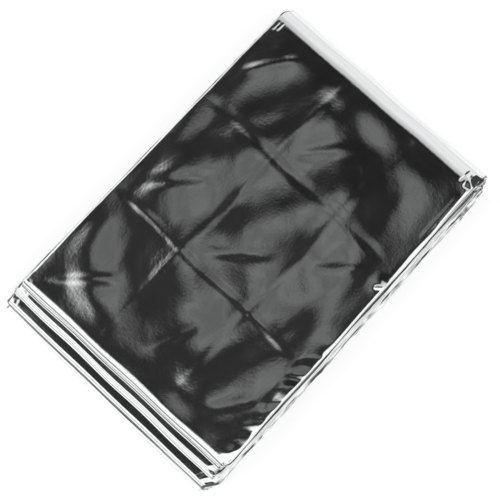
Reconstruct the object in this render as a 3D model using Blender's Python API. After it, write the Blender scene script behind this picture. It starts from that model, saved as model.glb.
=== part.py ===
"""Folded emergency foil blanket, lying flat as a pack. Metres, +Z up, origin under its middle.

The blanket is one sheet of thin metallised film. It is folded lengthwise into a strip that is one
pack wide, and the strip is then folded back and forth along its length. One end of the pack (-X)
shows the fold edges in three steps, and at the other end (+X) the outermost layer rolls round all
the rest. The long side at -Y is called near and the one at +Y far.
"""

import math
from typing import NamedTuple

import bpy

MM = 0.001

# The strip: many plies of film that lie together as one layer, and the air between two layers
LAYER_THICKNESS = 1.3 * MM
AIR_GAP = 0.35 * MM
LAYER_PITCH = LAYER_THICKNESS + AIR_GAP

# The strip's long edges are round, because its plies turn back there
EDGE_ROUND = 0.9 * MM

# The pack's corners are drawn in over this length from the tip of each turn
CORNER_LENGTH = 4.5 * MM


class Turn(NamedTuple):
    """Where the strip turns back or ends, in millimetres.

    How far its tip reaches at the near and the far side, how long its round part is, how thick it
    is at the tip, how far its crease wanders, and how far its near and far corners are drawn in.
    """

    reach_near: float
    reach_far: float
    round_length: float
    tip_thickness: float
    wander: float
    near_in: float
    far_in: float


TURNS = {
    "top_step": Turn(-54.9, -54.8, 3.4, 2.2, 0.2, 1.1, 0.4),
    "middle_step": Turn(-58.6, -57.9, 2.3, 1.6, 0.25, 1.4, 0.3),
    "lower_step": Turn(-61.8, -61.2, 1.7, 1.3, 0.2, 2.5, 0.4),
    "outer_end": Turn(-63.1, -62.4, 0.65, 0.0, 0.15, 2.9, 0.6),
    "upper_inner": Turn(56.6, 57.0, 1.5, 1.2, 0.1, 0.0, 0.0),
    "lower_inner": Turn(59.6, 60.6, 1.6, 1.2, 0.1, 0.0, 0.0),
    "inner_end": Turn(54.2, 54.6, 0.65, 0.0, 0.1, 0.0, 0.0),
    "roll": Turn(62.7, 63.9, 6.8, 1.3, 0.15, 0.4, 1.7),
}


class Layer(NamedTuple):
    """One flat run of the strip.

    Its turns at -X (left) and +X (right), where its near and far edges lie at each, in millimetres,
    and into how many steps its length is cut.
    """

    turn_left: str
    turn_right: str
    near_left: float
    near_right: float
    far_left: float
    far_right: float
    steps: int


# One row for each layer, from the top of the pack down: they are fanned out a little
LAYERS = (
    Layer("top_step", "roll", -38.3, -38.8, 41.4, 41.0, 34),
    Layer("top_step", "upper_inner", -38.7, -39.4, 41.9, 41.4, 9),
    Layer("middle_step", "upper_inner", -39.2, -40.0, 42.5, 41.9, 9),
    Layer("middle_step", "lower_inner", -39.3, -40.5, 42.3, 41.7, 9),
    Layer("lower_step", "lower_inner", -39.7, -40.8, 42.6, 42.1, 9),
    Layer("lower_step", "inner_end", -39.9, -41.3, 42.8, 42.4, 9),
    Layer("outer_end", "roll", -39.5, -40.9, 42.7, 42.6, 9),
)

# The order in which the strip runs through the layers, from its inner free end to its outer one
ROUTE = (5, 4, 3, 2, 1, 0, 6)

# How finely the turns and the ends are cut, and where the faces are cut across the strip
TURN_STEPS = 6
ROLL_STEPS = 14
END_STEPS = (0.6, 0.92)
STATIONS = (0.0, 0.02, 0.06, 0.12, 0.21, 0.33, 0.45, 0.57, 0.69, 0.8, 0.89, 0.955, 0.985, 1.0)


class Pucker(NamedTuple):
    """Where the top layer is pushed up at its near edge.

    In millimetres: the pucker's middle along X, half its width, its lift, and how far it reaches
    in from the edge.
    """

    along: float
    half_width: float
    lift: float
    reach: float


PUCKERS = (
    Pucker(-50.5, 6.0, 0.5, 7.0),
    Pucker(-36.0, 5.0, 0.45, 6.0),
    Pucker(-25.5, 5.5, 0.5, 8.0),
    Pucker(-7.0, 5.5, 0.6, 7.0),
    Pucker(15.0, 4.5, 0.55, 6.0),
    Pucker(56.0, 5.0, 0.4, 7.0),
)

# The pack is a little thicker in its middle, where the film holds air, and its top is uneven
CROWN = 0.05
SWELL = 0.012
SWELL_LENGTH_X = 47 * MM
SWELL_LENGTH_Y = 33 * MM
HALF_LENGTH = 64 * MM
HALF_WIDTH = 43 * MM

# Creases and edges wander over these lengths
CREASE_WAVE = 29 * MM
EDGE_WAVE = 37 * MM
EDGE_WANDER = 0.15 * MM

FOIL_COLOUR = (0.86, 0.87, 0.88, 1.0)
FOIL_ROUGHNESS = 0.12


class Slice(NamedTuple):
    """One step of the strip's route: its two faces in the pack's side view, and its long edges."""

    face: tuple
    back: tuple
    near: float
    far: float


def blend(first, last, share):
    return first + (last - first) * share


def height(level):
    """The middle height of a layer, counted from 0 at the top."""
    return (len(LAYERS) - 1 - level) * LAYER_PITCH + LAYER_THICKNESS / 2


def tip(name, share):
    """The furthest X of a turn at a share of the pack's width, near to far, as its crease wanders."""
    turn = TURNS[name]
    straight = blend(turn.reach_near, turn.reach_far, share) * MM
    across = share * 2 * HALF_WIDTH
    phase = 1.3 * list(TURNS).index(name)
    return straight + turn.wander * MM * math.sin(math.tau * across / CREASE_WAVE + phase)


def side_of(name):
    """-1 for a turn at the left end, 1 for one at the right end."""
    return -1 if TURNS[name].reach_near < 0 else 1


def fade(distance, width):
    """1 at no distance and 0 from width on, smooth at both ends."""
    return 0.5 + 0.5 * math.cos(math.pi * min(1.0, abs(distance) / width))


def edges(level, x):
    """The near and far edge of a layer at a place along X, with the corners drawn in at its turns."""
    layer = LAYERS[level]
    along = (x + HALF_LENGTH) / (2 * HALF_LENGTH)
    wave = EDGE_WANDER * math.sin(math.tau * x / EDGE_WAVE + 1.7 * level)
    near = blend(layer.near_left, layer.near_right, along) * MM + wave
    far = blend(layer.far_left, layer.far_right, along) * MM + 0.6 * wave
    for name in (layer.turn_left, layer.turn_right):
        drawn = fade(x - tip(name, 0.0), CORNER_LENGTH)
        near += TURNS[name].near_in * MM * drawn
        drawn = fade(x - tip(name, 1.0), CORNER_LENGTH)
        far -= TURNS[name].far_in * MM * drawn
    return near, far


def run(level, start, end):
    """A flat stretch of one layer. The face looks up on the way to +X and down on the way back."""
    slices = []
    half = math.copysign(LAYER_THICKNESS / 2, end - start)
    steps = LAYERS[level].steps
    for step in range(steps + 1):
        x = blend(start, end, step / steps)
        slices.append(Slice((x, height(level) + half), (x, height(level) - half), *edges(level, x)))
    return slices


def bend(level_from, level_to, name, share):
    """The two half ellipses between two layers, an outer and an inner one, without their ends."""
    turn, side = TURNS[name], side_of(name)
    top, bottom = height(level_from), height(level_to)
    middle, half = (top + bottom) / 2, (top - bottom) / 2
    outer_length = turn.round_length * MM
    inner_length = (turn.round_length - turn.tip_thickness) * MM
    centre = tip(name, share) - side * outer_length
    outer_half = half + math.copysign(LAYER_THICKNESS / 2, half)
    inner_half = half - math.copysign(LAYER_THICKNESS / 2, half)
    face_is_outside = (side > 0) == (top > bottom)
    steps = ROLL_STEPS if name == "roll" else TURN_STEPS
    slices = []
    for step in range(1, steps):
        angle = math.pi * step / steps
        across, up = side * math.sin(angle), math.cos(angle)
        outer = (centre + outer_length * across, middle + outer_half * up)
        inner = (centre + inner_length * across, middle + inner_half * up)
        face, back = (outer, inner) if face_is_outside else (inner, outer)
        near_from, far_from = edges(level_from, outer[0])
        near_to, far_to = edges(level_to, outer[0])
        turned = step / steps
        slices.append(Slice(face, back, blend(near_from, near_to, turned), blend(far_from, far_to, turned)))
    return slices


def free_end(level, name, share, looks):
    """The strip's rounded free end, from where it starts to get thinner to its tip."""
    side = side_of(name)
    start = tip(name, share) - side * TURNS[name].round_length * MM
    slices = []
    for reached in END_STEPS:
        x = start + side * TURNS[name].round_length * MM * reached
        half = looks * LAYER_THICKNESS / 2 * math.sqrt(1 - reached**2)
        slices.append(Slice((x, height(level) + half), (x, height(level) - half), *edges(level, x)))
    return slices


def side_view(share):
    """The strip's whole route at a share of the pack's width, from its inner free end to its outer one."""

    def straight_end(name):
        return tip(name, share) - side_of(name) * TURNS[name].round_length * MM

    slices = list(reversed(free_end(ROUTE[0], "inner_end", share, -1)))
    heading = -1
    for passed, level in enumerate(ROUTE, start=1):
        left, right = LAYERS[level].turn_left, LAYERS[level].turn_right
        first, last = (left, right) if heading > 0 else (right, left)
        slices += run(level, straight_end(first), straight_end(last))
        if passed < len(ROUTE):
            slices += bend(level, ROUTE[passed], last, share)
        heading = -heading
    return slices + free_end(ROUTE[-1], "outer_end", share, -1)


def thickened(x, y, z):
    """The height with the pack's crown and swells. It only stretches z, so the underside stays flat."""
    crown = CROWN * max(0.0, 1 - (x / HALF_LENGTH) ** 2) * max(0.0, 1 - (y / HALF_WIDTH) ** 2)
    swell = SWELL * math.sin(math.tau * x / SWELL_LENGTH_X + 0.6) * math.cos(math.tau * y / SWELL_LENGTH_Y)
    return z * (1 + crown + swell)


def pucker_lift(x, y, z):
    """How far the top layer is lifted at its near edge. The lift fades out in the layer below."""
    share = min(1.0, max(0.0, (z - height(1)) / LAYER_PITCH))
    from_edge = y - LAYERS[0].near_left * MM
    lifted = 0.0
    for pucker in PUCKERS:
        along = fade(x - pucker.along * MM, pucker.half_width * MM)
        lifted += share * pucker.lift * MM * along * fade(from_edge, pucker.reach * MM)
    return lifted


def place(one, y, share):
    """A point of a slice: share runs from -1 on its back to 1 on its face."""
    x, z = (blend(back, face, (share + 1) / 2) for back, face in zip(one.back, one.face))
    return x, y, thickened(x, y, z) + pucker_lift(x, y, z)


def section_ring(across):
    """One closed loop round the strip, through the slices at all stations.

    It goes over the face, round the far edge, back under the strip and round the near edge.
    """
    shoulder = math.sqrt(0.5)
    first, last = across[0], across[-1]
    face, back = [], []
    for share, one in zip(STATIONS, across):
        y = blend(one.near + EDGE_ROUND, one.far - EDGE_ROUND, share)
        face.append(place(one, y, 1.0))
        back.append(place(one, y, -1.0))
    inset = EDGE_ROUND * (1 - shoulder)
    far = [
        place(last, last.far - inset, shoulder),
        place(last, last.far, 0.0),
        place(last, last.far - inset, -shoulder),
    ]
    near = [
        place(first, first.near + inset, -shoulder),
        place(first, first.near, 0.0),
        place(first, first.near + inset, shoulder),
    ]
    return [*face, *far, *reversed(back), *near]


def end_cap(around):
    """The faces that close a loop: four-sided ones across it, and a triangle at each long edge."""
    start = around - 1
    cap = [(around - 2, start, around - 3)]
    low, high = start, around - 3
    steps = around // 2 - 2
    for _ in range(steps):
        next_low, next_high = (low + 1) % around, high - 1
        cap.append((low, next_low, next_high, high))
        low, high = next_low, next_high
    cap.append((low, (low + 1) % around, high))
    return cap


def centred(points):
    """The points moved so that the pack's middle is over the origin, and its underside at Z = 0."""
    lows = [min(point[axis] for point in points) for axis in range(3)]
    highs = [max(point[axis] for point in points) for axis in range(3)]
    shift = ((lows[0] + highs[0]) / 2, (lows[1] + highs[1]) / 2, lows[2])
    return [tuple(value - moved for value, moved in zip(point, shift)) for point in points]


def strip_mesh(name):
    """The folded strip as one closed mesh: a loop carried along its route, with both ends closed."""
    routes = [side_view(share) for share in STATIONS]
    rings = [section_ring(across) for across in zip(*routes)]
    around = len(rings[0])
    faces = []
    for ring in range(len(rings) - 1):
        for corner in range(around):
            following = (corner + 1) % around
            base, ahead = ring * around, (ring + 1) * around
            faces.append((base + corner, ahead + corner, ahead + following, base + following))
    last = (len(rings) - 1) * around
    for cap in end_cap(around):
        faces.append(tuple(cap))
        faces.append(tuple(last + corner for corner in reversed(cap)))
    mesh = bpy.data.meshes.new(name)
    mesh.from_pydata(centred([point for ring in rings for point in ring]), [], faces)
    mesh.validate()
    return mesh


def foil_material():
    material = bpy.data.materials.new("silver_foil")
    material.use_nodes = True
    shader = material.node_tree.nodes["Principled BSDF"]
    shader.inputs["Base Color"].default_value = FOIL_COLOUR
    shader.inputs["Metallic"].default_value = 1.0
    shader.inputs["Roughness"].default_value = FOIL_ROUGHNESS
    return material


def clear_scene():
    for existing in list(bpy.data.objects):
        bpy.data.objects.remove(existing)


def build_blanket():
    mesh = strip_mesh("foil_blanket")
    mesh.materials.append(foil_material())
    mesh.shade_smooth()
    mesh.set_sharp_from_angle(angle=math.radians(50))
    blanket = bpy.data.objects.new("foil_blanket", mesh)
    bpy.context.scene.collection.objects.link(blanket)
    return blanket


clear_scene()
build_blanket()
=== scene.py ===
"""Looks of the folded emergency foil blanket: one thin metallised film, folded flat into a small pack.

The film's own sizes are in millimetres, named as a maker would name them, and its mesh is in metres.
Near is the long side at -Y, far is the one at +Y, and the stepped fold edges are at -X.
"""

import math
from typing import NamedTuple

import bpy
import numpy as np
from mathutils import Matrix, Vector


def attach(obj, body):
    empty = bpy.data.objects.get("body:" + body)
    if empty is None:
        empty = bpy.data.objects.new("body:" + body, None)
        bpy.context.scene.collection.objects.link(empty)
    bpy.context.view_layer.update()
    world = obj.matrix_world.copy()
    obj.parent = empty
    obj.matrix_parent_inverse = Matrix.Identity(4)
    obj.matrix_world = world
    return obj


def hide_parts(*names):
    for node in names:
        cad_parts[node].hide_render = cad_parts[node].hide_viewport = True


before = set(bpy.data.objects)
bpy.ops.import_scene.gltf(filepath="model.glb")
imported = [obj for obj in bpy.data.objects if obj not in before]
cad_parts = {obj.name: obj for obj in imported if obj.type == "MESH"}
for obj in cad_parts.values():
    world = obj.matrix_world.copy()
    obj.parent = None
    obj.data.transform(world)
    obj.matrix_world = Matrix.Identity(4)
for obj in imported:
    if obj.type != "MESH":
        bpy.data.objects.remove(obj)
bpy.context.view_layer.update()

# The strip
# The blanket is one sheet of 12 micrometre polyester film with a vacuum-metallised face. It is folded
# lengthwise into a strip that is one pack wide, and the strip is folded back and forth in seven layers.
MM = 0.001
LAYER_THICKNESS = 1.3
AIR_GAP = 0.35
LAYER_PITCH = LAYER_THICKNESS + AIR_GAP
# How far the long edges are rounded, and the length over which each corner is drawn in
EDGE_ROUND = 0.9
TOP_EDGE_ROUND = 0.5
CORNER_LENGTH = 4.5
HALF_LENGTH = 64.0
HALF_WIDTH = 43.0
# The wavelengths of the fold edges and of the long edges, and how far the long edges wander
CREASE_WAVE = 29.0
EDGE_WAVE = 37.0
EDGE_WANDER = 0.15


class Turn(NamedTuple):
    """Where the strip turns back or ends: how far its tip reaches at the near and the far side, how
    long its round part is, how thick it is at the tip, how far its crease wanders, and how far its
    near and far corners are drawn in."""

    reach_near: float
    reach_far: float
    round_length: float
    tip_thickness: float
    wander: float
    near_in: float
    far_in: float


TURNS = {
    "top_step": Turn(-54.6, -54.7, 3.2, 2.2, 0.09, 1.1, 0.4),
    "middle_step": Turn(-58.2, -57.6, 2.1, 1.3, 0.12, 1.4, 0.3),
    "lower_step": Turn(-61.8, -61.2, 1.55, 1.3, 0.05, 2.5, 0.4),
    "outer_end": Turn(-63.1, -62.4, 0.65, 0.0, 0.08, 2.7, 0.6),
    "upper_inner": Turn(56.6, 57.0, 1.5, 1.2, 0.1, 0.0, 0.0),
    "lower_inner": Turn(59.6, 60.6, 1.6, 1.2, 0.1, 0.0, 0.0),
    "inner_end": Turn(54.2, 54.6, 0.65, 0.0, 0.1, 0.0, 0.0),
    "roll": Turn(62.8, 64.0, 7.6, 1.3, 0.08, 0.4, 1.7),
}


class Layer(NamedTuple):
    """One flat run of the strip: its turns at -X and +X, and its near and far edges at each."""

    turn_left: str
    turn_right: str
    near_left: float
    near_right: float
    far_left: float
    far_right: float


# One row for each layer, from the top of the pack down
LAYERS = (
    Layer("top_step", "roll", -38.4, -38.3, 41.4, 41.0),
    Layer("top_step", "upper_inner", -38.9, -38.9, 42.0, 41.6),
    Layer("middle_step", "upper_inner", -39.2, -39.6, 42.8, 42.2),
    Layer("middle_step", "lower_inner", -39.4, -40.1, 42.6, 42.0),
    Layer("lower_step", "lower_inner", -39.8, -40.6, 43.0, 42.5),
    Layer("lower_step", "inner_end", -39.9, -41.2, 43.2, 42.8),
    Layer("outer_end", "roll", -39.5, -40.9, 43.0, 42.9),
)


class Ring(NamedTuple):
    """The columns of one loop round the strip: over its face, round its far edge, back under it and
    round its near edge. share runs from 0 near to 1 far, lean from -1 on the back to 1 on the face,
    out is how far a column stands out round a long edge, in edge radii, and turned runs from 0 to 1
    round that edge."""

    share: np.ndarray
    lean: np.ndarray
    out: np.ndarray
    turned: np.ndarray


class Stretch(NamedTuple):
    """Rows along the strip by columns round it: its face and its back in the pack's side view, its
    near and far edges, the layer it lies in, and the depth of the ply lines pressed into it."""

    face_x: np.ndarray
    face_z: np.ndarray
    back_x: np.ndarray
    back_z: np.ndarray
    near: np.ndarray
    far: np.ndarray
    level: np.ndarray
    pressed: np.ndarray


def blend(first, last, share):
    """The value a share of the way from the first to the last, on a straight line."""
    return first + (last - first) * share


def crowded(count, closeness):
    """count places from 0 to 1: an even spread mixed with half a cosine, which lies closer at both
    ends."""
    even = np.linspace(0.0, 1.0, count)
    return blend(even, 0.5 - 0.5 * np.cos(np.pi * even), closeness)


def spaced(stops):
    """Places that lie evenly between stops, each a place and the number of steps that lead up to it."""
    steps = np.cumsum([count for place, count in stops])
    return np.interp(np.arange(steps[-1] + 1), steps, [place for place, count in stops])


def fade(distance, width):
    """1 at no distance and 0 from width on: half a cosine wave."""
    return 0.5 + 0.5 * np.cos(np.pi * np.minimum(1.0, np.abs(distance) / width))


def height(level):
    """The middle height of a layer: the layers lie a pitch apart, counted from the top."""
    return (len(LAYERS) - 1 - level) * LAYER_PITCH + LAYER_THICKNESS / 2


def side_of(name):
    """-1 for a turn at -X and 1 for one at +X."""
    return -1 if TURNS[name].reach_near < 0 else 1


def tip(name, share):
    """The furthest X of a turn: a straight line from near to far, plus a sine wave for its crease."""
    turn = TURNS[name]
    phase = 1.3 * list(TURNS).index(name)
    wave = turn.wander * np.sin(math.tau * share * 2 * HALF_WIDTH / CREASE_WAVE + phase)
    return blend(turn.reach_near, turn.reach_far, share) + wave


def edges(level, x):
    """The near and far edges of a layer along X: straight lines plus a sine wave, with a half cosine
    that draws each corner in at its turn."""
    layer = LAYERS[level]
    along = (x + HALF_LENGTH) / (2 * HALF_LENGTH)
    wave = EDGE_WANDER * np.sin(math.tau * x / EDGE_WAVE + 1.7 * level)
    near = blend(layer.near_left, layer.near_right, along) + wave
    far = blend(layer.far_left, layer.far_right, along) + 0.6 * wave
    for name in (layer.turn_left, layer.turn_right):
        near = near + TURNS[name].near_in * fade(x - tip(name, 0.0), CORNER_LENGTH)
        far = far - TURNS[name].far_in * fade(x - tip(name, 1.0), CORNER_LENGTH)
    return near, far


def ring(face, edge_columns, back_columns):
    """A Ring with the shares given for its face. The edges are half circles in even angles."""
    angle = np.linspace(0.5, -0.5, edge_columns + 2)[1:-1] * np.pi
    turned = 0.5 - angle / np.pi
    back = np.linspace(1.0, 0.0, back_columns)
    flat_face, flat_back = np.zeros(len(face)), np.zeros(back_columns)
    return Ring(
        np.concatenate([face, np.ones(edge_columns), back, np.zeros(edge_columns)]),
        np.concatenate([flat_face + 1, np.sin(angle), flat_back - 1, -np.sin(angle)]),
        np.concatenate([flat_face, np.cos(angle), flat_back, np.cos(angle)]),
        np.concatenate([flat_face, turned, flat_back, turned[::-1]]),
    )


def straight_end(name, columns):
    """The X where the flat part of a layer ends and its turn begins: the turn's tip less the length of
    its round part, as one row."""
    return (tip(name, columns.share) - side_of(name) * TURNS[name].round_length)[None, :]


def run(level, first, last, columns, places):
    """A flat stretch of a layer between two turns: X goes straight from one to the other, and face and
    back lie half a thickness to either side of its middle height. The face looks up on the way to +X."""
    x = blend(straight_end(first, columns), straight_end(last, columns), places[:, None])
    half = side_of(last) * LAYER_THICKNESS / 2
    z = np.full_like(x, height(level))
    near, far = edges(level, x)
    return Stretch(x, z + half, x, z - half, near, far, np.full_like(x, level), np.zeros_like(x))


class PlyLine(NamedTuple):
    """A line along a fold edge where one bundle of plies ends under the next: how far it lies from
    the tip of its turn, how deep and how wide it is, and how far it wanders."""

    turn: str
    from_tip: float
    depth: float
    width: float
    wander: float


PLY_LINES = (
    PlyLine("top_step", 1.50, 0.05, 0.13, 0.05),
    PlyLine("top_step", 0.85, 0.03, 0.10, 0.08),
    PlyLine("top_step", 0.40, 0.05, 0.12, 0.04),
    PlyLine("middle_step", 1.55, 0.014, 0.08, 0.05),
    PlyLine("middle_step", 1.05, 0.018, 0.08, 0.10),
    PlyLine("middle_step", 0.50, 0.030, 0.08, 0.12),
    PlyLine("lower_step", 0.85, 0.02, 0.09, 0.08),
    PlyLine("lower_step", 0.15, 0.06, 0.13, 0.03),
    PlyLine("roll", 4.1, 0.002, 0.40, 0.45),
    PlyLine("roll", 2.6, 0.003, 0.30, 0.35),
    PlyLine("roll", 1.3, 0.005, 0.20, 0.25),
    PlyLine("roll", 0.30, 0.030, 0.12, 0.16),
)


def pressed_lines(name, x, share, upper):
    """The depth of the ply lines of one turn: a bell curve across each, on its upper half only."""
    depth = np.zeros_like(x)
    lines = [line for line in PLY_LINES if line.turn == name]
    for number, line in enumerate(lines):
        wave = line.wander * np.sin(math.tau * share * 2.3 + 2.1 * number)
        at = tip(name, share) - side_of(name) * (line.from_tip + wave)
        depth += line.depth * np.exp(-(((x - at) / line.width) ** 2))
    return depth * upper


def bend(level_from, level_to, name, columns, steps):
    """Two half ellipses between two layers, an outer and an inner one, which is shorter by the
    thickness at the tip."""
    turn, side = TURNS[name], side_of(name)
    top, bottom = height(level_from), height(level_to)
    middle, half = (top + bottom) / 2, (top - bottom) / 2
    turned = crowded(steps + 1, 0.35)[1:-1, None]
    angle = np.pi * turned
    centre = straight_end(name, columns)
    across, up = side * np.sin(angle), np.cos(angle)
    thick = math.copysign(LAYER_THICKNESS / 2, half)
    outer_x, outer_z = centre + turn.round_length * across, middle + (half + thick) * up
    inner_x = centre + (turn.round_length - turn.tip_thickness) * across
    inner_z = middle + (half - thick) * up
    outer_z, inner_z = outer_z + 0 * centre, inner_z + 0 * centre
    near_from, far_from = edges(level_from, outer_x)
    near_to, far_to = edges(level_to, outer_x)
    near, far = blend(near_from, near_to, turned), blend(far_from, far_to, turned)
    level = blend(level_from, level_to, turned) + 0 * centre
    pressed = pressed_lines(name, outer_x, columns.share[None, :], outer_z > middle)
    if (side > 0) == (top > bottom):
        return Stretch(outer_x, outer_z, inner_x, inner_z, near, far, level, pressed)
    return Stretch(inner_x, inner_z, outer_x, outer_z, near, far, level, 0 * pressed)


def free_end(level, name, columns, reached):
    """The strip's free end, thinned like half an ellipse towards its tip. Its face looks down."""
    length = TURNS[name].round_length
    x = tip(name, columns.share)[None, :] - side_of(name) * length * (1 - reached[:, None])
    half = -LAYER_THICKNESS / 2 * np.sqrt(1 - reached[:, None] ** 2) + 0 * x
    z = height(level)
    near, far = edges(level, x)
    return Stretch(x, z + half, x, z - half, near, far, np.full_like(x, level), np.zeros_like(x))


def ramp(value, start, end):
    """0 up to start and 1 from end on, smooth at both."""
    share = np.clip((value - start) / (end - start), 0.0, 1.0)
    return share * share * (3 - 2 * share)


GOLDEN_ANGLE = 2.39996


def crumple(x, y, cell, seed):
    """Flat facets with sharp creases between them: the sum of five triangle waves whose directions
    turn by the golden angle, each a little longer than the one before. From -1 to 1."""
    total = np.zeros_like(x)
    for number in range(5):
        angle = GOLDEN_ANGLE * (number + seed)
        length = cell * (1 + 0.37 * number)
        across = (x * math.cos(angle) + y * math.sin(angle)) / length + 0.618 * (number + 3 * seed)
        total += 4 * np.abs(across - np.floor(across) - 0.5) - 1
    return total / 5


def wander(along, seed):
    """An uneven line: the sum of four sine waves, each shorter and lower than the one before."""
    waves = ((23.0, 1.0), (9.1, 0.6), (4.3, 0.5), (2.3, 0.35))
    total = np.zeros_like(along)
    for number, (length, size) in enumerate(waves):
        total += size * np.sin(math.tau * along / length + seed * (2.1 + 1.7 * number))
    return total / 1.6


class Pucker(NamedTuple):
    """Where the top layer is pushed up at its near edge: its middle along X, half its width, its
    lift, and how far it reaches in from the edge."""

    along: float
    half_width: float
    lift: float
    reach: float


PUCKERS = (
    Pucker(-50.5, 6.0, 0.20, 7.0),
    Pucker(-36.0, 5.0, 0.18, 6.0),
    Pucker(-25.5, 5.5, 0.22, 8.0),
    Pucker(-7.0, 5.5, 0.20, 7.0),
    Pucker(15.0, 4.5, 0.35, 6.0),
    Pucker(56.0, 5.0, 0.20, 7.0),
)


class Crease(NamedTuple):
    """A ridge (or a trough, where its lift is below 0) from one place on the top to another, with
    half its width and how round its crest is."""

    from_x: float
    from_y: float
    to_x: float
    to_y: float
    lift: float
    half_width: float
    roundness: float


# Long soft folds of the top, then short ones: two at the notch in its near edge, three along that edge
# further on, two marks at the near left corner, one at the near end of the roll and two at its far end
CREASES = (
    Crease(-50.0, 13.5, 56.0, 11.5, 0.07, 1.3, 0.15),
    Crease(-50.0, -13.0, 56.0, -14.8, -0.07, 1.6, 0.20),
    Crease(-17.0, -33.0, -14.5, 40.0, 0.08, 1.5, 0.20),
    Crease(22.0, -34.0, 24.5, 40.0, -0.09, 1.8, 0.30),
    Crease(-49.0, 38.0, -33.0, 19.0, 0.14, 2.0, 0.15),
    Crease(-12.0, 9.0, 2.0, -9.0, 0.12, 2.0, 0.20),
    Crease(4.0, -17.0, 17.0, -31.0, 0.12, 1.8, 0.15),
    Crease(-10.0, 37.0, 9.0, 20.0, -0.14, 2.4, 0.25),
    Crease(27.0, 8.0, 44.0, -6.0, 0.14, 2.2, 0.20),
    Crease(36.0, 38.0, 53.0, 26.0, 0.13, 2.0, 0.15),
    Crease(-47.0, -21.0, -31.0, -33.0, 0.13, 2.0, 0.15),
    Crease(-45.0, 2.0, -26.0, -7.0, -0.12, 2.2, 0.25),
    Crease(13.6, -34.8, 16.4, -38.6, 0.26, 0.6, 0.08),
    Crease(16.6, -35.6, 18.0, -38.6, -0.13, 0.7, 0.10),
    Crease(34.0, -36.6, 52.0, -35.8, 0.06, 0.8, 0.10),
    Crease(41.0, -37.3, 54.4, -36.4, 0.12, 0.30, 0.04),
    Crease(45.0, -37.8, 55.4, -37.5, -0.16, 0.30, 0.04),
    Crease(-53.9, -36.5, -52.9, -37.3, -0.16, 0.35, 0.05),
    Crease(-53.1, -37.3, -51.6, -36.8, -0.16, 0.35, 0.05),
    Crease(54.6, -33.0, 60.8, -33.9, -0.17, 0.45, 0.05),
    Crease(53.4, 40.0, 57.2, 39.7, -0.13, 0.35, 0.04),
    Crease(53.8, 38.8, 57.4, 38.5, -0.13, 0.35, 0.04),
)


# How far the creases bow to either side of a straight line
CREASE_BOW = 0.45


def creased(x, y):
    """The lift of all creases: a tent across each one with a rounded crest, let down at both ends over
    three of its half widths, or over half its length if that is less. Two sine waves bow them."""
    lift = np.zeros_like(x)
    x, y = x + CREASE_BOW * np.sin(y / 6.3 + 0.5), y + CREASE_BOW * np.sin(x / 7.9 + 1.1)
    for crease in CREASES:
        run_x, run_y = crease.to_x - crease.from_x, crease.to_y - crease.from_y
        length = math.hypot(run_x, run_y)
        along = ((x - crease.from_x) * run_x + (y - crease.from_y) * run_y) / length
        across = ((y - crease.from_y) * run_x - (x - crease.from_x) * run_y) / length
        crest = np.sqrt(across**2 + crease.roundness**2) - crease.roundness
        tent = np.clip(1 - crest / crease.half_width, 0.0, 1.0)
        ends = ramp(np.minimum(along, length - along), 0.0, min(3 * crease.half_width, length / 2))
        lift += crease.lift * tent * ends
    return lift


class PointRow(NamedTuple):
    """A row of places on the top: their X and Y, and how far the film is lifted there."""

    x: tuple
    y: tuple
    lift: tuple


# The crumpled near strip, from its inner side to beyond its edge. The film lies in flat facets between
# neighbouring places of neighbouring rows.
EDGE_X = (-49, -44.2, -41.4, -39.2, -36.8, -34.7, -30.0, -27.5,
          -22.3, -19.8, -17.8, -15.2, -11.6, -10.4, -7)
EDGE_LIFT = (0, -0.01, 0.02, -0.01, 0.03, -0.02, 0.08, -0.04, 0.10, -0.08, 0.08, -0.05, 0.09, 0, 0)
STRIP_ROWS = (
    PointRow((-52, -50, -47.5, -45, -42, -40, -36.5, -33.5, -28, -24, -22, -20, -17, -15, -8),
             (-33.2,) * 15, (0,) * 15),
    PointRow((-50, -46.2, -44.4, -41.2, -39.8, -37.7, -34.0, -31.5,
              -25.3, -21.8, -19.5, -17.2, -14.0, -12.4, -8),
             (-35.0, -35.9, -35.6, -35.8, -35.5, -35.2, -36.4, -35.4,
              -35.1, -35.9, -36.8, -35.3, -35.0, -36.5, -36),
             (0, -0.02, 0.03, -0.02, 0.04, -0.03, 0.12, -0.08, 0.15, -0.09, 0.07, -0.06, 0.10, 0.02, 0)),
    PointRow(EDGE_X, (-38.8,) * 15, EDGE_LIFT),
    PointRow(EDGE_X, (-42,) * 15, EDGE_LIFT),
)
# The near end of the roll, where the film is tucked in: from two small sunken facets, with a low ridge
# between them, it slopes down to a deep hollow at the edge
TUCK_X = (54.1, 54.8, 56.4, 57.4, 59.0, 60.2, 62, 66)
TUCK_LIFT = (0, -0.18, -0.44, -0.60, -0.62, -0.42, -0.1, 0)
TUCK_ROWS = (
    PointRow((53.6, 54.3, 56.3, 57.6, 59.0, 60.2, 62, 66), (-34.8,) * 8, (0,) * 8),
    PointRow((53.6, 54.3, 56.6, 57.9, 59.0, 60.2, 62, 66),
             (-35.5, -35.7, -36.0, -35.8, -35.8, -35.8, -36, -36),
             (0, -0.18, -0.02, -0.14, -0.09, 0.16, 0, 0)),
    PointRow(TUCK_X, (-38.0, -38.0, -38.0, -38.1, -38.2, -38.3, -38.4, -38.4), TUCK_LIFT),
    PointRow(TUCK_X, (-43,) * 8, TUCK_LIFT),
)


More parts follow.
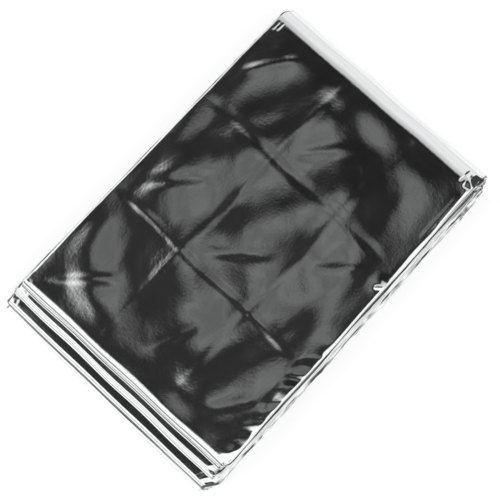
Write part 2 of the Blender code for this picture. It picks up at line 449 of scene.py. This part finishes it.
def faceted(x, y, rows):
    """The lift of flat facets between rows of places: each four-sided cell is cut along one diagonal
    into two triangles, and every point takes the lift of the triangle it lies in."""
    lift = np.zeros_like(x)
    table = np.stack([np.array(row, dtype=float).T for row in rows])
    upper_left, upper_right = table[:-1, :-1].reshape(-1, 3), table[:-1, 1:].reshape(-1, 3)
    lower_left, lower_right = table[1:, :-1].reshape(-1, 3), table[1:, 1:].reshape(-1, 3)
    firsts = np.concatenate([upper_left, upper_right])
    seconds = np.concatenate([upper_right, lower_right])
    thirds = np.concatenate([lower_left, lower_left])
    for first, second, third in zip(firsts, seconds, thirds):
        (run_x, run_y, run_lift), (side_x, side_y, side_lift) = second - first, third - first
        whole = run_x * side_y - side_x * run_y
        to_second = ((x - first[0]) * side_y - side_x * (y - first[1])) / whole
        to_third = (run_x * (y - first[1]) - (x - first[0]) * run_y) / whole
        inside = (to_second >= 0) & (to_third >= 0) & (to_second + to_third < 1)
        lift = np.where(inside, first[2] + to_second * run_lift + to_third * side_lift, lift)
    return lift


# Where the top's flat face starts to roll down to its near edge, as it runs along the pack
BROW_X = (-54.0, -51.2, -49.6, -47.0, -45.0, -42.9, -41.2, -39.6, -37.5, -30.0, -20.0, -12.5, -10.6,
          -2.7, 10.6, 15.6, 18.3, 29.8, 37.0, 44.1, 48.7, 52.6, 57.0)
BROW_Y = (-34.4, -35.1, -36.6, -37.9, -38.3, -38.2, -37.6, -37.7, -38.3, -38.4, -38.6, -38.4, -37.7,
          -38.1, -38.3, -38.2, -37.9, -37.4, -37.8, -37.5, -37.6, -37.9, -38.0)
BROW_SLOPE = 0.34
BROW_ROUND = 0.35
# The crown and the swells lift every height by a share of it. The pillows and crumples lift the top
# layer only, apart from the crumples of the corners, which move all that is off the ground.
CROWN = 0.05
SWELL = 0.012
SWELL_LENGTH_X = 47.0
SWELL_LENGTH_Y = 33.0
PILLOW_LIFT = 0.30
PILLOW_LENGTH_X = 43.0
PILLOW_LENGTH_Y = 33.0
TOP_CRUMPLE = 0.16
FINE_CRUMPLE = 0.015
STRIP_CRUMPLE = 0.03
CORNER_CRUMPLE = 0.34


def crinkled_corners(x, y):
    """How crinkled the film is: fully at the near left corner, less so at the far left one and along the
    far edge next to it, and half at the near right one. Each is a product of ramps along X and Y."""
    near_left = ramp(-x, 53.5, 55.0) * ramp(-y, 33.0, 35.5)
    far_left = ramp(-x, 51.0, 54.0) * ramp(y, 37.5, 39.5)
    far_edge = ramp(-x, 36.0, 44.0) * ramp(y, 40.6, 41.6)
    near_right = ramp(x, 47.0, 55.0) * ramp(-y, 37.5, 39.5)
    return near_left + 0.8 * (far_left + 0.6 * far_edge) + 0.5 * near_right


def uneven(x, y, z):
    """The height with the pack's crown and swells, the puckers, creases, pillows and facets of its top
    layer, and the crinkled corners. Every part of it moves all layers at a place by a share that only
    grows with their height, so no layer runs into the next and the underside stays flat."""
    crown = CROWN * np.clip(1 - (x / HALF_LENGTH) ** 2, 0, 1) * np.clip(1 - (y / HALF_WIDTH) ** 2, 0, 1)
    swell = SWELL * np.sin(math.tau * x / SWELL_LENGTH_X + 0.6) * np.cos(math.tau * y / SWELL_LENGTH_Y)
    top = np.clip((z - height(1)) / LAYER_PITCH, 0.0, 1.0)
    from_edge = y - LAYERS[0].near_left
    lift = creased(x, y)
    for pucker in PUCKERS:
        lift += pucker.lift * fade(x - pucker.along, pucker.half_width) * fade(from_edge, pucker.reach)
    brow = np.interp(x, BROW_X, BROW_Y)
    lift -= BROW_SLOPE * (brow - y + np.hypot(brow - y, BROW_ROUND)) / 2
    inside = (ramp(x, -52.0, -42.0) * ramp(-x, -54.0, -44.0)
              * ramp(y, -34.0, -24.0) * ramp(-y, -40.0, -32.0))
    pillows = (np.sin(math.tau * (x + 0.3 * y) / PILLOW_LENGTH_X + 1.0)
               * np.sin(math.tau * (y - 0.25 * x) / PILLOW_LENGTH_Y + 2.0))
    lift += inside * (PILLOW_LIFT * pillows + TOP_CRUMPLE * crumple(x, y, 15.0, 1))
    lift += faceted(x, y, STRIP_ROWS) + faceted(x, y, TUCK_ROWS)
    strip = ramp(-y, 31.0, 34.5) * ramp(-x, 0.0, 30.0)
    lift += FINE_CRUMPLE * crumple(x, y, 5.0, 6) + STRIP_CRUMPLE * strip * crumple(x, y, 3.1, 2)
    crinkle = crumple(x, y, 1.5, 4) + 0.6 * crumple(x, y, 3.1, 7)
    corners = CORNER_CRUMPLE * crinkled_corners(x, y) * crinkle
    above_ground = ramp(z, 0.3, 2.4)
    return z * (1 + crown + swell) + top * lift + above_ground * corners


# How dark the gap under each layer looks at the long edges, from the top down: some are pressed shut.
# At the near right corner the plies lie loose, so none of their gaps is paler than LOOSE_SHADE.
GAP_SHADE = (1.0, 0.1, 0.2, 1.0, 0.2, 0.5)
LOOSE_SHADE = 0.6
GROOVE_SHADE_TOP = 0.08
GROOVE_SHADE_BOTTOM = 0.5
BROKEN_SHADE = 0.8


def edge_shade(x, y, level, columns, up, groove):
    """The shade of the long edges: the parts of their half circles that turn towards the next layer,
    plus the grooves. Down the pack it breaks up into dashes along X, and at the lowest near left
    corner into specks."""
    out, share = np.abs(columns.out[None, :]), columns.share[None, :]
    shades = np.array((0.0,) + GAP_SHADE + (0.0,))
    loose = LOOSE_SHADE * ramp(x, 40.0, 50.0) * (share < 0.5)
    over = np.maximum(shades[level.astype(int)], loose)
    under = np.maximum(shades[level.astype(int) + 1], loose)
    upper, lower = ramp(up, 0.75 - 0.7 * over, 0.9 - 0.6 * over), ramp(-up, 0.1, 0.5)
    gaps = 1.2 * out**0.3 * (over**0.5 * upper + under * lower)
    strength = blend(GROOVE_SHADE_TOP, GROOVE_SHADE_BOTTOM, ramp(level, 2.0, 5.0))
    grooves = strength * groove * out * (np.abs(columns.lean[None, :]) < 0.9)
    dashes = 1 - ramp(level, 2.0, 4.0) * (1 - ramp(wander(1.5 * x, 2.0 + 1.9 * level), -0.7, 0.5))
    corner = ramp(-x, 56.5, 59.0) * ramp(-y, 34.0, 36.0) * (level > 4)
    specks = BROKEN_SHADE * ramp(crumple(x, y, 0.9, 5), 0.0, 0.25)
    return (gaps + grooves) * dashes * (1 - corner * (1 - specks))


# The layer that lies under each step, which gets a painted contact shadow along the step's tip
FEET = ((2, "top_step"), (4, "middle_step"), (6, "lower_step"))
FOOT_WIDTH = 0.2
# A ply line has this painted shade at this depth. A trough of the top starts to get painted shade at the
# first depth here and is fully shaded at the second.
LINE_SHADE = 0.9
LINE_DEPTH = 0.035
TROUGH_DEPTHS = (0.14, 0.27)


def foot_shade(x, level, share, up):
    """The shade along the foot of each step: a bell curve across it, on the upper side only."""
    shade = np.zeros_like(x)
    for foot_level, name in FEET:
        across = (x - tip(name, share)) / FOOT_WIDTH
        shade += np.exp(-(across**2)) * (level == foot_level) * ramp(up, 0.2, 0.8)
    return shade


# A long edge shows so many bundles of plies, with grooves of this depth between them. They reach out
# past it by up to about so much: least at the top layer, most at the lowest.
PLIES_AT_EDGE = 3
PLY_GROOVE = 0.25
PLY_REACH_TOP = 0.05
PLY_REACH_BOTTOM = 0.40


def placed(stretch, columns):
    """The points of a stretch, and how much shade is painted into the colour at each, from 0 to 1.

    Across it, y runs from the near to the far edge, whose half circle is cut by grooves into three
    bundles of plies that each reach out unevenly; face and back are mixed by how far a column leans;
    and ply lines are pressed in along the line from back to face."""
    lean, out, share = columns.lean[None, :], columns.out[None, :], columns.share[None, :]
    turned = columns.turned[None, :]
    side = blend(-1.0, 1.0, share)
    radius = blend(TOP_EDGE_ROUND, EDGE_ROUND, np.minimum(stretch.level, 1.0))
    y = blend(stretch.near + radius, stretch.far - radius, share) + side * out * radius
    x = blend(stretch.back_x, stretch.face_x, (lean + 1) / 2)
    z = blend(stretch.back_z, stretch.face_z, (lean + 1) / 2)
    level = np.round(stretch.level)
    groove = 1 - np.abs(np.sin(np.pi * PLIES_AT_EDGE * turned)) ** 0.6
    seed = 1.3 * level + 0.7 * np.floor(turned * PLIES_AT_EDGE) + 4.1 * (share > 0.5)
    furthest = blend(PLY_REACH_TOP, PLY_REACH_BOTTOM, level / 6)
    reach = furthest * wander(x + 0.35 * z, seed) * np.abs(out) ** 0.5
    y = y + side * (reach - PLY_GROOVE * groove * np.abs(out))
    depth = stretch.pressed * np.clip(lean, 0, 1)
    thick = np.hypot(stretch.face_x - stretch.back_x, stretch.face_z - stretch.back_z)
    x = x - depth * (stretch.face_x - stretch.back_x) / thick
    z = z - depth * (stretch.face_z - stretch.back_z) / thick
    up = lean * np.where(stretch.face_z > stretch.back_z, 1.0, -1.0)
    shade = edge_shade(x, y, level, columns, up, groove) + foot_shade(x, level, share, up)
    shade = shade + LINE_SHADE * depth / LINE_DEPTH
    # Painted shade in the deep troughs of the top's creases
    trough = ramp(-creased(x, y), *TROUGH_DEPTHS) * ramp(up, 0.5, 0.9) * (stretch.level < 0.9)
    return np.stack([x, y, uneven(x, y, z)], axis=-1), np.clip(shade + trough, 0.0, 1.0)


def joined_stretches(stretches):
    """The rows of all the stretches, one after the other, as one Stretch."""
    return Stretch(*(np.concatenate(parts) for parts in zip(*stretches)))


# How far along its thinned part each row of a free end lies
INNER_END_ROWS = np.array([0.92, 0.6])
OUTER_END_ROWS = np.array([0.6, 0.92])


def inner_route(columns):
    """From the inner free end up through layers 5, 4, 3 and 2 into layer 1."""
    flat = crowded(70, 0.3)
    return joined_stretches([
        free_end(5, "inner_end", columns, INNER_END_ROWS),
        run(5, "inner_end", "lower_step", columns, flat),
        bend(5, 4, "lower_step", columns, 50),
        run(4, "lower_step", "lower_inner", columns, flat),
        bend(4, 3, "lower_inner", columns, 8),
        run(3, "lower_inner", "middle_step", columns, flat),
        bend(3, 2, "middle_step", columns, 56),
        run(2, "middle_step", "upper_inner", columns, flat),
        bend(2, 1, "upper_inner", columns, 8),
        run(1, "upper_inner", "top_step", columns, np.linspace(0.0, 0.93, 56)),
    ])


# Along the top run the rows lie closer at both ends and at the crumpled part of the near strip
TOP_PLACES = ((0.0, 0), (0.05, 14), (0.407, 84), (0.595, 24), (0.67, 16), (0.932, 34), (1.0, 22))


def top_route(columns):
    """From layer 1 over the top layer and round the roll into the bottom layer."""
    return joined_stretches([
        run(1, "upper_inner", "top_step", columns, np.linspace(0.94, 1.0, 5)),
        bend(1, 0, "top_step", columns, 60),
        run(0, "top_step", "roll", columns, spaced(TOP_PLACES)),
        bend(0, 6, "roll", columns, 46),
        run(6, "roll", "outer_end", columns, np.linspace(0.0, 0.03, 4)),
    ])


# Along the bottom run the rows lie closer at its outer end
BOTTOM_PLACES = ((0.045, 0), (0.94, 73), (1.0, 22))


def bottom_route(columns):
    """Along the bottom layer to the outer free end."""
    return joined_stretches([
        run(6, "roll", "outer_end", columns, spaced(BOTTOM_PLACES)),
        free_end(6, "outer_end", columns, OUTER_END_ROWS),
    ])


def grid_faces(first, rows, count):
    """The four-sided faces of a closed tube of rows by count points, numbered from first."""
    row, column = np.meshgrid(np.arange(rows - 1), np.arange(count), indexing="ij")
    base, following = first + row * count, (column + 1) % count
    corners = (base + column, base + count + column, base + count + following, base + following)
    return np.stack(corners, axis=-1).reshape(-1, 4)


def around_of(columns):
    """Where each column lies round the strip: 0 to 1 over the face, to 2 round the far edge, to 3
    over the back and to 4 round the near edge."""
    on_face, on_back = columns.lean == 1, columns.lean == -1
    near_edge = (columns.share == 0) & ~on_face & ~on_back
    around = np.where(on_face, columns.share, 3 - columns.share)
    around = np.where(on_face | on_back, around, 1 + columns.turned)
    return np.where(near_edge, 4 - columns.turned, around)


def stitch(first_a, around_a, first_b, around_b):
    """The triangles between two loops with unlike columns: each step of one loop is joined to the
    point of the other that lies just before its middle."""
    a, b = np.arange(len(around_a)), np.arange(len(around_b))
    middle_a = (around_a + np.append(around_a[1:], 4.0)) / 2
    at_b = np.searchsorted(around_b, middle_a, side="right") - 1
    at_a = np.searchsorted(middle_a, np.append(around_b[1:], 4.0), side="left") % len(a)
    steps_of_a = np.stack([first_a + a, first_b + at_b, first_a + (a + 1) % len(a)], axis=-1)
    steps_of_b = np.stack([first_b + b, first_b + (b + 1) % len(b), first_a + at_a], axis=-1)
    return np.concatenate([steps_of_a, steps_of_b])


def film_mesh(name, parts, arounds):
    """One closed mesh from the tubes given, stitched end to end, with both free ends closed."""
    points = np.concatenate([part.reshape(-1, 3) for part in parts])
    rows, counts = [part.shape[0] for part in parts], [part.shape[1] for part in parts]
    firsts = np.cumsum([0] + [row * count for row, count in zip(rows, counts)])
    faces = []
    for first, row, count in zip(firsts, rows, counts):
        faces += grid_faces(first, row, count).tolist()
    for number in range(len(parts) - 1):
        last_row = firsts[number + 1] - counts[number]
        faces += stitch(last_row, arounds[number], firsts[number + 1], arounds[number + 1]).tolist()
    start_cap = np.arange(counts[0])
    end_cap = firsts[-1] - counts[-1] + np.arange(counts[-1])
    faces += [start_cap.tolist(), end_cap[::-1].tolist()]
    mesh = bpy.data.meshes.new(name)
    mesh.from_pydata((points * MM).tolist(), [], faces)
    mesh.validate()
    mesh.shade_smooth()
    return mesh


# Round the strip the columns lie closer at both long edges, and closest at the top route's near strip
wide_columns = ring(spaced(((0.0, 0), (0.07, 14), (0.94, 22), (1.0, 10))), 14, 6)
fine_columns = ring(spaced(((0.0, 0), (0.09, 28), (0.93, 74), (1.0, 16))), 14, 14)
routes = (
    (inner_route(wide_columns), wide_columns),
    (top_route(fine_columns), fine_columns),
    (bottom_route(wide_columns), wide_columns),
)
PACK_MIDDLE = np.array([0.36, 0.77, 0.0])
tubes = [placed(stretch, columns) for stretch, columns in routes]
arounds = [around_of(columns) for stretch, columns in routes]
mesh = film_mesh("folded_film", [points - PACK_MIDDLE for points, painted_shade in tubes], arounds)

# The strip's middle line, followed at one column of the face, gives each row's place along the strip
LINE_COLUMN = 5
middle_x = [(stretch.face_x + stretch.back_x)[:, LINE_COLUMN] / 2 for stretch, columns in routes]
middle_z = [(stretch.face_z + stretch.back_z)[:, LINE_COLUMN] / 2 for stretch, columns in routes]
centre_line = np.stack([np.concatenate(middle_x), np.concatenate(middle_z)], axis=-1)
steps = np.linalg.norm(np.diff(centre_line, axis=0), axis=1)
along = np.concatenate([[0.0], np.cumsum(steps)])
rows_before = np.cumsum([0] + [len(stretch.level) for stretch, columns in routes])
# Past this X, on the roll and the inner turns, the ply lines of the folds are only this strong
FAINT_FOLD_X = 55
FAINT_FOLD = 0.08
# What the finish reads at each point: how much shade is painted into its colour there, in the gaps,
# grooves and troughs between plies, how far it lies along the strip and round a long edge, and how much it
# belongs to a long edge or to a fold
facts = {"painted_shade": [painted_shade for points, painted_shade in tubes], "along": [], "round": [], "edge": [], "fold": []}
for (stretch, columns), first, last in zip(routes, rows_before[:-1], rows_before[1:]):
    shape = stretch.level.shape
    between_layers = np.minimum(1.0, 4 * np.abs(stretch.level - np.round(stretch.level)))
    facts["along"].append(np.broadcast_to(along[first:last, None], shape))
    facts["round"].append(np.broadcast_to(columns.turned, shape))
    facts["edge"].append(np.broadcast_to(np.abs(columns.out), shape))
    facts["fold"].append(between_layers * np.where(stretch.face_x > FAINT_FOLD_X, FAINT_FOLD, 1.0))
for name, parts in facts.items():
    values = np.concatenate([part.reshape(-1) for part in parts])
    mesh.attributes.new(name, "FLOAT", "POINT").data.foreach_set("value", values.astype(np.float32))
film = bpy.data.objects.new("folded_film", mesh)
bpy.context.scene.collection.objects.link(film)


# The film's finish
# Vacuum-metallised polyester: a mirror with a faint grain, finely wrinkled along its folds, with shade
# painted into its colour between its plies.
class Socket:
    """A shader socket whose sums and products add Math nodes, so shader maths reads as Python."""

    def __init__(self, tree, output):
        self.tree, self.output = tree, output

    def made(self, operation, *values):
        """The operation's result on the values, as a Math node gives it."""
        return add_node(self.tree, "ShaderNodeMath", {"operation": operation}, dict(enumerate(values)))

    def __add__(self, other):
        return self.made("ADD", self, other)

    def __sub__(self, other):
        return self.made("SUBTRACT", self, other)

    def __rsub__(self, other):
        return self.made("SUBTRACT", other, self)

    def __mul__(self, other):
        return self.made("MULTIPLY", self, other)

    __radd__ = __add__
    __rmul__ = __mul__


def add_node(tree, kind, settings, inputs, output=0):
    """A node of a kind, with its settings set first and then its inputs, which are values or sockets.
    Gives its output as a Socket."""
    node = tree.nodes.new(kind)
    for setting, value in settings.items():
        setattr(node, setting, value)
    for key, value in inputs.items():
        if isinstance(value, Socket):
            tree.links.new(value.output, node.inputs[key])
        else:
            node.inputs[key].default_value = value
    return Socket(tree, node.outputs[output])


def eased(tree, value, start, end, first, last):
    """From the first to the last level while the value goes from start to end, smooth at both."""
    inputs = {"Value": value, "From Min": start, "From Max": end, "To Min": first, "To Max": last}
    return add_node(tree, "ShaderNodeMapRange", {"interpolation_type": "SMOOTHSTEP"}, inputs, "Result")


SILVER = (0.87, 0.875, 0.88, 1.0)
# SHADED is the near black colour that stands in for painted shade
SHADED = (0.03, 0.03, 0.032, 1.0)
# The ply lines of painted shade along the folds and round each long edge, with widths as shares of their
# spacing
FOLD_LINES_PER_MM = 1.7
EDGE_LINES = 3.0
FOLD_LINE_WIDTH = 0.09
EDGE_LINE_WIDTH = 0.14
GRAIN_SCALE = 1100.0
CLOUD_SCALE = 90.0
BUMP_DISTANCE = 0.0004


def film_material():
    """Silver, with shade painted into its colour in the gaps between plies and as fine dark ply lines that
    run along each fold and each long edge and fade up the pack, and a faint grain and cloudiness everywhere."""
    material = bpy.data.materials.new("metallised_film")
    material.use_nodes = True
    tree = material.node_tree
    shader = tree.nodes["Principled BSDF"]

    def fact(name):
        """One of the facts that the mesh carries at its points."""
        return add_node(tree, "ShaderNodeAttribute", {"attribute_name": name}, {}, "Fac")

    def noise(vector, scale, detail):
        """Soft noise from 0 to 1."""
        inputs = {"Vector": vector, "Scale": scale, "Detail": detail}
        return add_node(tree, "ShaderNodeTexNoise", {}, inputs, "Fac")

    def streaks(x, y, z, detail):
        """Noise that is drawn out along one way by unlike sizes along X, Y and Z."""
        return noise(add_node(tree, "ShaderNodeCombineXYZ", {}, {0: x, 1: y, 2: z}), 1.0, detail)

    def rising(value, low, high):
        """0 up to low and 1 from high on, smooth at both."""
        return eased(tree, value, low, high, 0.0, 1.0)

    def thin_line(phase, width):
        """1 on a thin line at each whole step of the phase, and 0 between."""
        step = add_node(tree, "ShaderNodeMath", {"operation": "PINGPONG"}, {0: phase, 1: 0.5})
        return 1.0 - rising(step, 0.4 * width, width)

    places = add_node(tree, "ShaderNodeTexCoord", {}, {}, "Object")
    x, y, z = (add_node(tree, "ShaderNodeSeparateXYZ", {}, {0: places}, axis) for axis in range(3))
    fold_phase = fact("along") * FOLD_LINES_PER_MM + streaks(y * 30.0, z * 150.0, 0.0, 2.0) * 1.2
    edge_phase = fact("round") * EDGE_LINES + streaks(x * 45.0, z * 500.0, 0.0, 2.0) * 1.4
    at_fold = fact("fold") * rising(streaks(y * 22.0, z * 400.0, 3.0, 1.0), 0.42, 0.55)
    at_edge = fact("edge") * rising(streaks(x * 60.0, z * 900.0, 7.0, 1.0), 0.44, 0.56)
    fold_lines = at_fold * thin_line(fold_phase, FOLD_LINE_WIDTH)
    edge_lines = at_edge * thin_line(edge_phase, EDGE_LINE_WIDTH)
    lines = fold_lines + edge_lines
    # The painted shade of the ply lines is darker low down the pack and paler higher up
    line_strength = 0.75 - rising(z, 0.001, 0.007) * 0.58
    grain, cloud = noise(places, GRAIN_SCALE, 1.0), noise(places, CLOUD_SCALE, 1.0)
    # Painted shade: the shade carried by the mesh plus the ply lines mix the silver towards SHADED
    dark = fact("painted_shade") * 0.95 + lines * line_strength
    shade = add_node(tree, "ShaderNodeMath", {"operation": "MINIMUM"}, {0: dark, 1: 1.0})
    colours = {"Factor": shade, 6: SILVER, 7: SHADED}
    colour = add_node(tree, "ShaderNodeMix", {"data_type": "RGBA"}, colours, 2)
    tree.links.new(colour.output, shader.inputs["Base Color"])
    roughness = grain * 0.04 + cloud * 0.05 + 0.03 + shade * 0.15
    tree.links.new(roughness.output, shader.inputs["Roughness"])
    relief = {"Height": grain * 0.025 + cloud * 0.15 - lines * 0.03, "Distance": BUMP_DISTANCE}
    bump = add_node(tree, "ShaderNodeBump", {}, {**relief, "Strength": 1.0}, "Normal")
    tree.links.new(bump.output, shader.inputs["Normal"])
    shader.inputs["Metallic"].default_value = 1.0
    return material


film.data.materials.append(film_material())
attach(film, "root")
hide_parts("foil_blanket")

# The floor and the light
# A plain white surface under a bright surround, with a dark patch overhead as round a camera.
FLOOR_SIDE = 6.0
FLOOR_DROP = 0.0002
half_side = FLOOR_SIDE / 2
floor_corners = [
    (-half_side, -half_side, -FLOOR_DROP), (half_side, -half_side, -FLOOR_DROP),
    (half_side, half_side, -FLOOR_DROP), (-half_side, half_side, -FLOOR_DROP),
]
floor_mesh = bpy.data.meshes.new("floor")
floor_mesh.from_pydata(floor_corners, [], [(0, 1, 2, 3)])
floor = bpy.data.objects.new("floor", floor_mesh)
bpy.context.scene.collection.objects.link(floor)
floor_material = bpy.data.materials.new("white_surface")
floor_material.use_nodes = True
floor_shader = floor_material.node_tree.nodes["Principled BSDF"]
floor_shader.inputs["Base Color"].default_value = (0.6, 0.6, 0.6, 1.0)
floor_shader.inputs["Roughness"].default_value = 0.9
floor_shader.inputs["Specular IOR Level"].default_value = 0.0
floor_shader.inputs["Emission Color"].default_value = (1.0, 1.0, 1.0, 1.0)
floor_shader.inputs["Emission Strength"].default_value = 0.55
floor.data.materials.append(floor_material)

# The surround has a dark patch overhead and a small one lower down at the right. Each has an axis, and
# its rim lies between two cosines of the angle from that axis.
PATCH_AXIS = (0.16, 0.13, 0.98)
PATCH_RIM = (0.93, 0.972)
PATCH_INSIDE = (0.985, 0.9985)
PATCH_DARK = 0.022
PATCH_PALE = 0.16
SMALL_PATCH_AXIS = (0.79, -0.315, 0.52)
SMALL_PATCH_RIM = (0.961, 0.98)
SMALL_PATCH_DARK = 0.05
SURROUND_STRENGTH = 1.14
world = bpy.data.worlds.new("surround")
bpy.context.scene.world = world
world.use_nodes = True
tree = world.node_tree
direction = add_node(tree, "ShaderNodeTexCoord", {}, {}, "Generated")


def cosine_from(axis):
    """The cosine of the angle between the direction and an axis."""
    inputs = {0: direction, 1: tuple(Vector(axis).normalized())}
    return add_node(tree, "ShaderNodeVectorMath", {"operation": "DOT_PRODUCT"}, inputs, "Value")


aside, ahead, above = (add_node(tree, "ShaderNodeSeparateXYZ", {}, {0: direction}, axis) for axis in range(3))

# The patch overhead: dark, with a paler mottled middle
towards_patch = cosine_from(PATCH_AXIS)
mottle = add_node(tree, "ShaderNodeTexNoise", {}, {"Vector": direction, "Scale": 9.0, "Detail": 1.0}, "Fac")
mottled = eased(tree, mottle, 0.3, 0.7, 0.5, 1.0)
patch = eased(tree, towards_patch, *PATCH_INSIDE, 0.0, PATCH_PALE) * mottled + PATCH_DARK
outside_patch = eased(tree, towards_patch, *PATCH_RIM, 1.0, 0.0)
outside_small_patch = eased(tree, cosine_from(SMALL_PATCH_AXIS), *SMALL_PATCH_RIM, 1.0, SMALL_PATCH_DARK)

# Low down there are four dark corners, where the square of sine times cosine of the bearing is near 1/4
crossed = aside * ahead
flat_square = 1.0001 - above * above
squares = {0: crossed * crossed, 1: flat_square * flat_square}
diagonal = add_node(tree, "ShaderNodeMath", {"operation": "DIVIDE"}, squares)
low_down = eased(tree, above, 0.45, 0.65, 0.94, 0.0)
outside_corners = 1.0 - eased(tree, diagonal, 0.205, 0.235, 0.0, 1.0) * low_down

# The surround is a little greyer at the horizon, and it has a grey band at its right that all but ends
# at the near side
horizon = eased(tree, above, 0.0, 0.1, 0.8, 1.0)
band = eased(tree, aside, 0.15, 0.40, 1.0, 0.55) * eased(tree, aside, 0.52, 0.78, 1.0, 1.48)
banded = 1.0 - (1.0 - band) * eased(tree, ahead, -0.40, -0.10, 0.1, 1.0)
lit = (patch + outside_patch * (outside_corners - patch)) * horizon * banded * outside_small_patch
tree.links.new(lit.output, tree.nodes["Background"].inputs["Color"])
tree.nodes["Background"].inputs["Strength"].default_value = SURROUND_STRENGTH
bpy.context.scene.view_settings.view_transform = "Standard"

# The camera
# It looks down on the pack from over its near corner, turned so that the pack lies across the frame.
FRAME_PIXELS = 500.0
FOCAL_PIXELS = 1092.43
SENSOR_WIDTH = 36.0
CAMERA_PLACE = (-48.52, -49.61, 322.81)
CAMERA_RIGHT = (0.67167109, -0.74073467, -0.01304169)
CAMERA_DOWN = (-0.72662902, -0.65524387, -0.20655686)
camera_data = bpy.data.cameras.new("camera")
camera_data.sensor_width = SENSOR_WIDTH
camera_data.lens = FOCAL_PIXELS * SENSOR_WIDTH / FRAME_PIXELS
camera = bpy.data.objects.new("camera", camera_data)
bpy.context.scene.collection.objects.link(camera)
right = Vector(CAMERA_RIGHT).normalized()
down = Vector(CAMERA_DOWN)
forward = right.cross(down).normalized()
down = forward.cross(right)
turn_matrix = Matrix((right, -down, -forward)).transposed()
camera.matrix_world = Matrix.Translation(Vector(CAMERA_PLACE) * MM) @ turn_matrix.to_4x4()
bpy.context.scene.camera = camera
